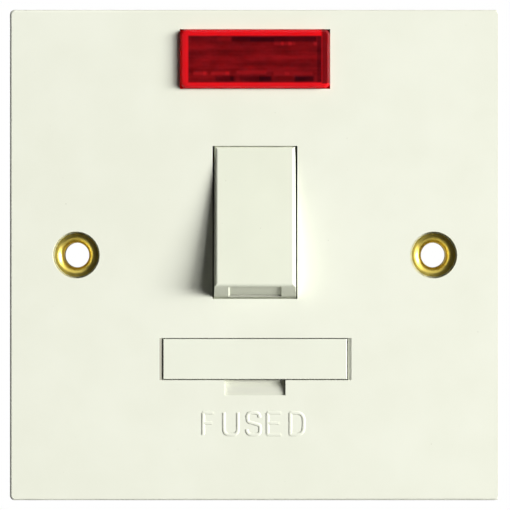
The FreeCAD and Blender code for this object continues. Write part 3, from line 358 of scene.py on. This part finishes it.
def plate_painted_shade(tree, place):
    """How much painted shade lies on the plate: none on its front, most on the left ramp."""
    split = add_node(tree, "SeparateXYZ", Vector=place)
    across, level, up = split.outputs["X"], split.outputs["Y"], split.outputs["Z"]
    ramp = box_mask(tree, across, up, (RAMP_MIDDLE, DRAWER_UP),
                    (RAMP_WIDTH / 2, RAMP_HALF_HEIGHT), 0.01)
    foot = RAMP_DEPTH * MM - PLATE_FRONT
    on_ramp = between(tree, level, foot + 0.01 * MM, foot + 0.05 * MM, RAMP_SHADE, 0.0)
    notch = box_mask(tree, across, up, NOTCH_MIDDLE, NOTCH_HALF, 0.05)
    in_notch = between(tree, level, 0.02 * MM - PLATE_FRONT, 0.06 * MM - PLATE_FRONT,
                       0.0, NOTCH_SHADE)
    return maths(tree, "MAXIMUM", maths(tree, "MULTIPLY", ramp, on_ramp),
                 maths(tree, "MULTIPLY", notch, in_notch))


def shelf_painted_shade(tree, place):
    """The same painted shade on the shelf of the grip recess in the rocker's lower end."""
    split = add_node(tree, "SeparateXYZ", Vector=place)
    shelf = box_mask(tree, split.outputs["X"], split.outputs["Z"], SHELF_MIDDLE, SHELF_HALF,
                     0.03)
    return maths(tree, "MULTIPLY", shelf, SHELF_SHADE)


print("ramp at", round(RAMP_MIDDLE, 3), round(DRAWER_UP, 2), "half height",
      round(RAMP_HALF_HEIGHT, 2))

# %% [markdown]
# ## Cream mouldings
# The plate, the rocker and the fuse drawer are urea mouldings in one cream colour. Up close they
# aren't flat: the colour drifts a little, the polished mould leaves a very fine grain, and a few
# dark specks of dust sit in the resin. One function makes all three, each with its own tone.
# The four scales say how many blotches of each kind fit in a metre.

# %% Finish the cream mouldings
DRIFT, CLOUDS, SPECKLES, GRAIN = 28.0, 160.0, 1900.0, 3400.0
SPECK_COLOUR = colour(150, 146, 120)
SPECK_SHARE = 0.3


def moulded_plastic(slot, light, dark, roughness, grain_depth, specks, painted_shade_at=None):
    tree, shader, _, place = new_finish(slot, IOR=1.5)
    drift = noise(tree, place, DRIFT, 3.0)
    cloud = noise(tree, place, CLOUDS)
    grain = noise(tree, place, GRAIN)
    body = tint(tree, between(tree, blend(tree, drift, 0.65, cloud), 0.34, 0.66), dark, light)
    dots = between(tree, noise(tree, place, SPECKLES, 1.0), specks, specks + 0.03)
    base = tint(tree, maths(tree, "MULTIPLY", dots, SPECK_SHARE), body, SPECK_COLOUR)
    rough = between(tree, blend(tree, grain, 0.5, cloud), 0.3, 0.7,
                    roughness - 0.05, roughness + 0.06)
    # Painted shade: the grey tints the colour where shade falls, and the same mask raises
    # roughness.
    if painted_shade_at:
        painted_shade = painted_shade_at(tree, place)
        base = tint(tree, painted_shade, base, SHADE_GREY)
        rough = maths(tree, "MULTIPLY_ADD", painted_shade, 0.5, rough)
    feed(shader.inputs["Base Color"], base)
    feed(shader.inputs["Roughness"], rough)
    relief(tree, shader, maths(tree, "MULTIPLY_ADD", cloud, 1.6, grain), grain_depth)


moulded_plastic("ivory_moulding", colour(232, 234, 218), colour(229, 231, 214), 0.42,
                0.004 * MM, 0.79, plate_painted_shade)
moulded_plastic("carrier_moulding", colour(231, 234, 217), colour(229, 231, 214), 0.4,
                0.004 * MM, 0.8)
moulded_plastic("rocker_moulding", colour(227, 230, 211), colour(224, 227, 208), 0.38,
                0.003 * MM, 0.8, shelf_painted_shade)
print("finishes so far", sorted(FINISHES))

# %% [markdown]
# ## The rear moulding
# Nobody sees the back once it is on the wall, so the real one is a plainer, greyer moulding with
# a matt, slightly uneven surface and faint flow lines from the mould's gate. The same noise
# makes the lines when it is stretched along the height.

# %% Finish the rear moulding
tree, shader, _, place = new_finish("rear_moulding", IOR=1.5)
flow = noise(tree, place, 60.0, 3.0, (1.0, 1.0, 0.25), 0.6)
cloud = noise(tree, place, 240.0)
grit = noise(tree, place, 2600.0)
feed(shader.inputs["Base Color"],
     tint(tree, between(tree, flow, 0.35, 0.65), colour(226, 225, 214), colour(236, 235, 226)))
feed(shader.inputs["Roughness"], between(tree, cloud, 0.3, 0.7, 0.52, 0.66))
relief(tree, shader, maths(tree, "MULTIPLY_ADD", flow, 2.5, grit), 0.008 * MM)
print("rear moulding done")

# %% [markdown]
# ## The red lens
# The lens is a clear red moulding: its bevelled rim glows with the light that runs inside the
# plastic, and its middle is a thin ribbed window over a dark hollow. The window's deep red is
# painted shade that stands for that hollow, and its fine lines are the ribs' light and shade,
# painted. Full transmission would be the physical way, but it needs many more samples, so most
# of the glow is subsurface light and only a little passes through. The lines are a noise
# stretched flat, since the ribs run from side to side.

# %% Start the lens's finish
LENS_WINDOW_MIDDLE = (0.0, -0.05)
LENS_WINDOW_HALF = (11.25, 3.95)
RED_GLOW = (1.0, 0.12, 0.1)

lens_low, lens_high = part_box("neon_lens")
LENS_UP = (lens_low.z + lens_high.z) / 2
tree, shader, _, place = new_finish("red_lens", IOR=1.49, Roughness=0.2,
                                    Specular_IOR_Level=0.18, Transmission_Weight=0.1,
                                    Subsurface_Weight=0.9, Subsurface_Scale=4.0 * MM,
                                    Subsurface_Radius=RED_GLOW)
moved = add_node(tree, "Mapping", Vector=place, Location=(0, 0, -LENS_UP)).outputs["Vector"]
split = add_node(tree, "SeparateXYZ", Vector=moved)
across, up = split.outputs["X"], split.outputs["Z"]
lines = noise(tree, moved, 1.0, 1.0, (60.0, 60.0, 1050.0))
streaks = noise(tree, moved, 1.0, 2.0, (300.0, 300.0, 700.0))
# Painted light and shade: the lines stand for the shading of the ribs, and the deep red for the
# dark hollow behind the window.
painted_rib_lines = between(tree, blend(tree, streaks, 0.45, lines), 0.3, 0.7)
hollow_shade_red = tint(tree, painted_rib_lines, colour(98, 11, 15), colour(146, 21, 26))
print("lens middle at", round(LENS_UP / MM, 2))

# %% [markdown]
# ## Painted shade bars and glints in the lens
# The ribs and the edges of the hollow break the light into dark bars along the top and the
# bottom, with small light dashes beside them; here the bars are painted shade and the dashes
# painted highlights. A noise could scatter them, but a real lens has only a few, in set places,
# so each is a listed soft box. A row gives its middle and its level from the lens's middle, its
# half length, and how strong it is.

# %% Place the painted shade bars and glints
# Painted shade: dark bars where the edges of the hollow shade the window.
SHADE_BARS = ((3.2, 3.35, 7.2, 0.7), (1.2, 3.3, 2.2, 0.82), (-8.6, 3.4, 2.2, 0.3),
        (-5.0, -3.35, 1.7, 0.4), (-3.9, -3.35, 0.4, 0.75), (0.1, -3.35, 2.7, 0.4),
        (1.7, -3.35, 1.1, 0.75), (8.3, -3.4, 1.6, 0.75))
# Painted highlights: light dashes where the ribs catch the light.
GLINTS = ((-9.2, -2.45, 1.2, 0.35), (-8.5, -2.45, 0.35, 0.6), (-5.8, -2.45, 1.6, 0.35),
          (-4.7, -2.45, 0.4, 0.65), (-0.6, -2.3, 2.5, 0.25), (6.4, -2.5, 3.3, 0.25),
          (5.4, -2.5, 0.5, 0.4), (4.6, 2.6, 0.3, 0.6), (5.9, 2.6, 0.35, 0.6),
          (5.0, 2.6, 1.8, 0.25), (10.2, 2.6, 0.3, 0.4))


def strongest(rows, half_height, soft):
    """The strongest of several soft boxes at each point of the lens."""
    total = 0.0
    for middle, level, reach, strength in rows:
        dash = box_mask(tree, across, up, (middle, level), (reach, half_height), soft)
        total = maths(tree, "MAXIMUM", total, maths(tree, "MULTIPLY", dash, strength))
    return total


# Painted shade: a dark band down the right side of the window.
side_shade_band = box_mask(tree, across, up, (10.9, 0.0), (0.45, 4.2), 0.2)
shade_bars = maths(tree, "MAXIMUM", strongest(SHADE_BARS, 0.45, 0.3), maths(tree, "MULTIPLY", side_shade_band, 0.5))
lit = tint(tree, strongest(GLINTS, 0.3, 0.25), hollow_shade_red, colour(206, 36, 42))
shaded = tint(tree, shade_bars, lit, colour(24, 2, 12))
print("shade_bars", len(SHADE_BARS) + 1, "glints", len(GLINTS))

# %% [markdown]
# ## The lens's rim
# The rim's colour is painted light: the lens's own red, made bright as a painted glow on three
# sides, where light leaves the plastic, and dimmed by painted shade on the right, where the light
# goes in. The window's mask joins it to the deep red middle, itself painted shade, with a soft
# border.

# %% Join window and rim
RIM_FOOT = (-4.35 * MM, -4.0 * MM)
PAINTED_DIM_EDGE = (11.0 * MM, 11.5 * MM)

# Painted shade dims the rim's right end; the bright rim red is partly a painted glow.
painted_dim_end = maths(tree, "MULTIPLY", between(tree, across, *PAINTED_DIM_EDGE), between(tree, up, *RIM_FOOT))
rim = tint(tree, painted_dim_end, colour(250, 27, 36), colour(120, 17, 23))
window = box_mask(tree, across, up, LENS_WINDOW_MIDDLE, LENS_WINDOW_HALF, 0.2)
feed(shader.inputs["Base Color"], tint(tree, window, rim, shaded))
print("window in mm", [2 * half for half in LENS_WINDOW_HALF])

# %% [markdown]
# ## Brass, steel, silver and tin
# The eyelets are spun from polished brass. The strips and terminal blocks are duller, with the
# fine drawn lines and the first brown tarnish of stock metal. Screws are zinc-plated steel,
# contact tips are silver that has begun to yellow, the fuse's caps are nickel, and springs and
# wires are bright drawn metal. All are one metallic shader with two tones and a range of
# roughness: real metals differ in those far more than in their pattern.

# %% Finish the metals
def metal(slot, bright, dull, roughness, spread, lines=None):
    tree, shader, _, place = new_finish(slot, Metallic=1.0)
    stain = noise(tree, place, 210.0, 4.0)
    brushed = noise(tree, place, 900.0, 2.0, lines)
    feed(shader.inputs["Base Color"], tint(tree, between(tree, stain, 0.38, 0.7), bright, dull))
    feed(shader.inputs["Roughness"],
         between(tree, blend(tree, stain, 0.4, brushed), 0.3, 0.7, roughness, roughness + spread))
    relief(tree, shader, brushed, 0.002 * MM)


metal("eyelet_brass", colour(228, 206, 104), colour(210, 186, 84), 0.3, 0.08)
metal("strip_brass", colour(214, 180, 98), colour(172, 132, 66), 0.3, 0.2, (1, 1, 0.06))
metal("terminal_brass", colour(208, 176, 100), colour(168, 134, 72), 0.32, 0.2, (0.1, 1, 1))
metal("screw_steel", colour(196, 199, 203), colour(160, 163, 168), 0.26, 0.18)
metal("contact_silver", colour(226, 224, 216), colour(190, 184, 168), 0.22, 0.15)
metal("fuse_cap_metal", colour(206, 205, 198), colour(178, 176, 168), 0.18, 0.14)
metal("spring_steel", colour(150, 152, 156), colour(112, 113, 118), 0.28, 0.14)
metal("tinned_wire", colour(205, 206, 207), colour(176, 177, 178), 0.26, 0.14)
print("finishes so far", len(FINISHES))

# %% [markdown]
# ## The fuse's barrel
# The barrel is glazed ceramic: a nearly white body under a thin clear glaze. A coat on the
# shader makes the glaze, which stays sharp while the body under it is duller.

# %% Finish the fuse's barrel
tree, shader, _, place = new_finish("fuse_ceramic", Roughness=0.22, IOR=1.55,
                                    Coat_Weight=0.4, Coat_Roughness=0.08)
glaze = noise(tree, place, 900.0, 3.0)
feed(shader.inputs["Base Color"],
     tint(tree, between(tree, glaze, 0.35, 0.7), colour(238, 236, 228), colour(226, 223, 212)))
print("barrel glazed")

# %% [markdown]
# ## The lamp's glass and the plungers
# The lamp is a thin glass bulb that has browned a little inside, and the plungers are grey nylon
# with fine flecks. Neither shows from the front, so two tones each are enough.

# %% Finish the glass and the nylon
tree, shader, _, place = new_finish("lamp_glass", Roughness=0.04, IOR=1.5,
                                    Transmission_Weight=0.9)
soot = noise(tree, place, 700.0, 3.0)
feed(shader.inputs["Base Color"],
     tint(tree, between(tree, soot, 0.4, 0.75), colour(236, 228, 220), colour(196, 168, 150)))

tree, shader, _, place = new_finish("plunger_plastic", IOR=1.52)
fleck = noise(tree, place, 1500.0)
feed(shader.inputs["Base Color"],
     tint(tree, between(tree, fleck, 0.3, 0.7), colour(92, 94, 98), colour(112, 114, 118)))
feed(shader.inputs["Roughness"], between(tree, fleck, 0.3, 0.7, 0.38, 0.5))
print("glass and nylon done")

# %% [markdown]
# ## The resistor
# The lamp's resistor has a tan lacquered body with colour bands round it. The bands could be
# thin rings of their own, but on the real one they are paint, so they are stripes across the
# height, each measured down from the resistor's upper end.

# %% Finish the resistor
BAND_HALF = 0.24 * MM
BAND_EDGE = 0.06 * MM
BANDS = {1.4: colour(92, 52, 28), 2.4: colour(30, 30, 34), 3.4: colour(200, 168, 40),
         5.0: colour(180, 148, 70)}

resistor_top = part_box("neon_resistor")[1].z
tree, shader, _, place = new_finish("resistor_body", IOR=1.5, Roughness=0.4)
height = add_node(tree, "SeparateXYZ", Vector=place).outputs["Z"]
lacquer = tint(tree, between(tree, noise(tree, place, 1400.0), 0.3, 0.7),
               colour(206, 178, 128), colour(196, 166, 116))
for down, band_colour in BANDS.items():
    reach = maths(tree, "SUBTRACT", height, resistor_top - down * MM)
    stripe = between(tree, maths(tree, "ABSOLUTE", reach), BAND_HALF, BAND_HALF + BAND_EDGE,
                     1.0, 0.0)
    lacquer = tint(tree, stripe, lacquer, band_colour)
feed(shader.inputs["Base Color"], lacquer)
print("bands", len(BANDS), "finishes", len(FINISHES))

# %% [markdown]
# ## Put the finishes on
# Each solid came in with a plain material named after its slot, so the finish with that name
# takes its place. A slot with no finish would stop the script here.

# %% Dress the solids
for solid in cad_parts.values():
    for holder in solid.material_slots:
        holder.material = FINISHES[holder.material.name.split(".")[0]]
print("dressed", len(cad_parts), "solids")

# %% [markdown]
# ## The raised word
# Under the drawer stands one plain word that says what the unit is: a low bead with a rounded
# top, which catches the side light on the right of each stroke. A typeface could be extruded,
# but a cutter leaves a bead along a line in the mould, so the letters are drawn stroke by
# stroke. A letter has its left edge and its width in millimetres; its strokes' points are
# shares of its width and height.

# %% Write down the strokes
BAR_STROKES = [[(0, 0), (0, 1)], [(0, 1), (1, 1)], [(0, 0.53), (0.85, 0.53)]]
LETTERS = {
    "F": (-8.75, 1.75, BAR_STROKES),
    "U": (-5.25, 2.35, ["left side", "bowl", "right side"]),
    "S": (-1.4, 2.25, ["double bend"]),
    "E": (2.1, 2.25, BAR_STROKES + [[(0, 0), (1, 0)]]),
    "D": (5.95, 2.25, [[(0, 0), (0, 1)], "belly"]),
}
ROUND_STROKES = {
    "left side": [(0, 1), (0, 0.8), (0, 0.5), (0, 0.3)],
    "right side": [(1, 0.3), (1, 0.5), (1, 0.8), (1, 1)],
    "bowl": [(0, 0.3), (0, 0.1), (0.2, 0), (0.5, 0), (0.8, 0), (1, 0.1), (1, 0.3)],
    "double bend": [(0.96, 0.78), (0.94, 0.93), (0.76, 1.0), (0.48, 1.0), (0.17, 1.0),
                    (0.03, 0.88), (0.05, 0.74), (0.08, 0.57), (0.34, 0.55), (0.52, 0.51),
                    (0.76, 0.47), (1.0, 0.43), (1.0, 0.25), (1.0, 0.08), (0.8, 0.0),
                    (0.48, 0.0), (0.2, 0.0), (0.02, 0.09), (0.0, 0.24)],
    "belly": [(0, 1), (0.34, 1.0), (0.68, 1.0), (1.0, 0.86), (1.0, 0.5), (1.0, 0.14),
              (0.68, 0.0), (0.34, 0), (0, 0)],
}
print("letters", "".join(LETTERS))

# %% [markdown]
# ## Beads along the strokes
# A straight stroke is a two-point line, and a round one a smooth spline with its points as
# handles. One curve object holds them all, and its bevel gives every stroke a round section.

# %% Draw the beads
WORD_HEIGHT = 3.7 * MM
STROKE = 0.3 * MM


def add_bead(curve, points, bend):
    spline = curve.splines.new("NURBS" if bend else "POLY")
    spline.points.add(len(points) - 1)
    for point, (sideways, upwards) in zip(spline.points, points):
        point.co = (sideways, 0, upwards, 1)
    if bend:
        spline.order_u = 4
        spline.use_endpoint_u = True
        spline.resolution_u = 6


word_curve = bpy.data.curves.new("word_lines", "CURVE")
word_curve.dimensions = "3D"
word_curve.bevel_depth = STROKE
word_curve.bevel_resolution = 3
word_curve.use_fill_caps = True
for left, width, strokes in LETTERS.values():
    for stroke in strokes:
        bend = isinstance(stroke, str)
        shares = ROUND_STROKES[stroke] if bend else stroke
        add_bead(word_curve, [((left + along * width) * MM, (rise - 0.5) * WORD_HEIGHT)
                              for along, rise in shares], bend)
print("strokes", len(word_curve.splines))

# %% [markdown]
# ## Press the beads flat
# The curve becomes a mesh first, so that its place can be baked in and the object stays at the
# origin, where the export wants it. Flattening it against the plate's front leaves a low bead
# with its lower half sunk in the plate, as if both were one moulding.

# %% Raise the word
WORD_DOWN = 28.45 * MM
BEAD_RISE = 0.075 * MM

word_lines = bpy.data.objects.new("word_lines", word_curve)
word_mesh = bpy.data.meshes.new_from_object(word_lines)
word_mesh.name = "raised_word"
bpy.data.objects.remove(word_lines)
press = Matrix.Diagonal((1, BEAD_RISE / STROKE, 1, 1))
word_mesh.transform(Matrix.Translation((0, -PLATE_FRONT, -WORD_DOWN)) @ press)
for face in word_mesh.polygons:
    face.use_smooth = True
word_mesh.materials.clear()
word_mesh.materials.append(FINISHES["ivory_moulding"])
word = bpy.data.objects.new("raised_word", word_mesh)
bpy.context.scene.collection.objects.link(word)
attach(word, "housing")
print("bead rise in mm", round(BEAD_RISE / MM, 3), "faces", len(word_mesh.polygons))
